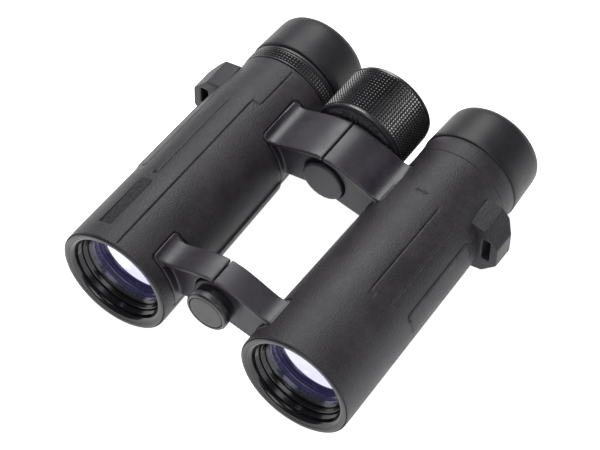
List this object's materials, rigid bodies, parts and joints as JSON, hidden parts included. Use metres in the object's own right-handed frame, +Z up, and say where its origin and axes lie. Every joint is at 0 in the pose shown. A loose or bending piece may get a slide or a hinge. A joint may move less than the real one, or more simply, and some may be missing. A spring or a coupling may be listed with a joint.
{
  "type": "binoculars",
  "caption": "Compact roof-prism binoculars with open bridge, centre hinge, focus wheel, dioptre ring, twist-up eyecups, strap lugs and a tripod socket.",
  "frame": {"origin": "centre of the footprint at the lowest point of the barrels, both barrels lying level and fully spread", "axes": "+X towards the user's left barrel, +Y along the optical axes towards the eyepieces, +Z up towards the hinge and focus wheel"},
  "size_m": [0.128, 0.127, 0.0474],
  "materials": {
    "armour_rubber": "matte, fine grain",
    "cast_alloy": "matte black paint on the casting",
    "satin_black_alloy": "satin soft-touch black",
    "black_anodised": "gloss black anodised",
    "coated_glass": "polished, multi-coated",
    "prism_glass": "polished",
    "slider_plastic": "matte",
    "satin_plastic": "satin",
    "eyecup_rubber": "satin",
    "label_plate": "satin",
    "pin_steel": "ground",
    "brass_parts": "turned",
    "grip_rubber": "matte, knurled"
  },
  "bodies": {
    "root": {"front_hinge_pin": "pin_steel", "hinge_washers": "pin_steel", "left_armour": "armour_rubber", "left_chassis_tube": "cast_alloy", "left_crown_lens": "coated_glass", "left_eye_lens": "coated_glass", "left_field_lens": "coated_glass", "left_flint_lens": "coated_glass", "left_front_arm": "satin_black_alloy", "left_half_prism": "prism_glass", "left_objective_bezel": "black_anodised", "left_objective_cell": "black_anodised", "left_objective_retainer": "black_anodised", "left_ocular_cell": "black_anodised", "left_ocular_collar": "satin_plastic", "left_ocular_tube": "black_anodised", "left_prism_cage": "black_anodised", "left_rear_arm": "satin_black_alloy", "left_roof_prism": "prism_glass", "left_strap_lug": "cast_alloy", "rear_hinge_tube": "pin_steel", "spindle_bush": "brass_parts"},
    "right_barrel": {"right_armour": "armour_rubber", "right_chassis_tube": "cast_alloy", "right_crown_lens": "coated_glass", "right_flint_lens": "coated_glass", "right_front_arm": "satin_black_alloy", "right_half_prism": "prism_glass", "right_index_ring": "satin_plastic", "right_label_plate": "label_plate", "right_objective_bezel": "black_anodised", "right_objective_cell": "black_anodised", "right_objective_retainer": "black_anodised", "right_ocular_tube": "black_anodised", "right_prism_cage": "black_anodised", "right_rear_arm": "satin_black_alloy", "right_roof_prism": "prism_glass", "right_strap_lug": "cast_alloy"},
    "left_focus_cell": {"left_focus_cell": "black_anodised", "left_focus_lens": "coated_glass"},
    "right_focus_cell": {"right_focus_cell": "black_anodised", "right_focus_lens": "coated_glass"},
    "focus_wheel": {"focus_wheel_hub": "black_anodised", "focus_wheel_grip": "grip_rubber", "focus_wheel_cap": "satin_plastic", "focus_screw": "pin_steel"},
    "focus_carriage": {"focus_carriage": "brass_parts"},
    "tripod_cap": {"tripod_cap": "satin_plastic", "tripod_cap_disc": "label_plate"},
    "dioptre_ring": {"right_dioptre_ring": "satin_plastic"},
    "right_ocular_cell": {"right_ocular_cell": "black_anodised", "right_field_lens": "coated_glass", "right_eye_lens": "coated_glass"},
    "left_eyecup_guide": {"left_eyecup_guide": "slider_plastic"},
    "right_eyecup_guide": {"right_eyecup_guide": "slider_plastic"},
    "left_eyecup": {"left_eyecup_sleeve": "satin_plastic", "left_eyecup_rubber": "eyecup_rubber"},
    "right_eyecup": {"right_eyecup_sleeve": "satin_plastic", "right_eyecup_rubber": "eyecup_rubber"}
  },
  "joints": [
    {"name": "interpupillary_hinge", "type": "hinge", "parent": "root", "child": "right_barrel", "pos_m": [0, 0, 0.0304], "axis": [0, -1, 0], "range_deg": [0, 57]},
    {"name": "focus_wheel_turn", "type": "hinge", "parent": "root", "child": "focus_wheel", "pos_m": [0, 0, 0.0304], "axis": [0, 1, 0], "range_deg": [0, 450]},
    {"name": "focus_carriage_slide", "type": "slide", "parent": "root", "child": "focus_carriage", "axis": [0, -1, 0], "range_m": [0, 0.0032]},
    {"name": "left_focus_slide", "type": "slide", "parent": "root", "child": "left_focus_cell", "axis": [0, -1, 0], "range_m": [0, 0.0032]},
    {"name": "right_focus_slide", "type": "slide", "parent": "right_barrel", "child": "right_focus_cell", "axis": [0, -1, 0], "range_m": [0, 0.0032]},
    {"name": "dioptre_turn", "type": "hinge", "parent": "right_barrel", "child": "dioptre_ring", "pos_m": [-0.037, 0, 0.0214], "axis": [0, 1, 0], "range_deg": [-40, 40]},
    {"name": "dioptre_slide", "type": "slide", "parent": "right_barrel", "child": "right_ocular_cell", "axis": [0, 1, 0], "range_m": [-0.001, 0.001]},
    {"name": "left_eyecup_twist", "type": "hinge", "parent": "left_eyecup_guide", "child": "left_eyecup", "pos_m": [0.037, 0, 0.0214], "axis": [0, 1, 0], "range_deg": [0, 100]},
    {"name": "left_eyecup_slide", "type": "slide", "parent": "root", "child": "left_eyecup_guide", "axis": [0, 1, 0], "range_m": [0, 0.008]},
    {"name": "right_eyecup_twist", "type": "hinge", "parent": "right_eyecup_guide", "child": "right_eyecup", "pos_m": [-0.037, 0, 0.0214], "axis": [0, 1, 0], "range_deg": [0, 100]},
    {"name": "right_eyecup_slide", "type": "slide", "parent": "right_barrel", "child": "right_eyecup_guide", "axis": [0, 1, 0], "range_m": [0, 0.008]},
    {"name": "tripod_cap_slide", "type": "slide", "parent": "root", "child": "tripod_cap", "axis": [0, -1, 0], "range_m": [0, 0.03]}
  ],
  "couplings": [
    {"joint": "focus_carriage_slide", "follows": "focus_wheel_turn", "m_per_rad": 0.0004074},
    {"joint": "left_focus_slide", "follows": "focus_wheel_turn", "m_per_rad": 0.0004074},
    {"joint": "right_focus_slide", "follows": "focus_wheel_turn", "m_per_rad": 0.0004074},
    {"joint": "dioptre_turn", "follows": "dioptre_slide", "rad_per_m": 698},
    {"joint": "left_eyecup_slide", "follows": "left_eyecup_twist", "m_per_rad": 0.00458},
    {"joint": "right_eyecup_slide", "follows": "right_eyecup_twist", "m_per_rad": 0.00458}
  ]
}
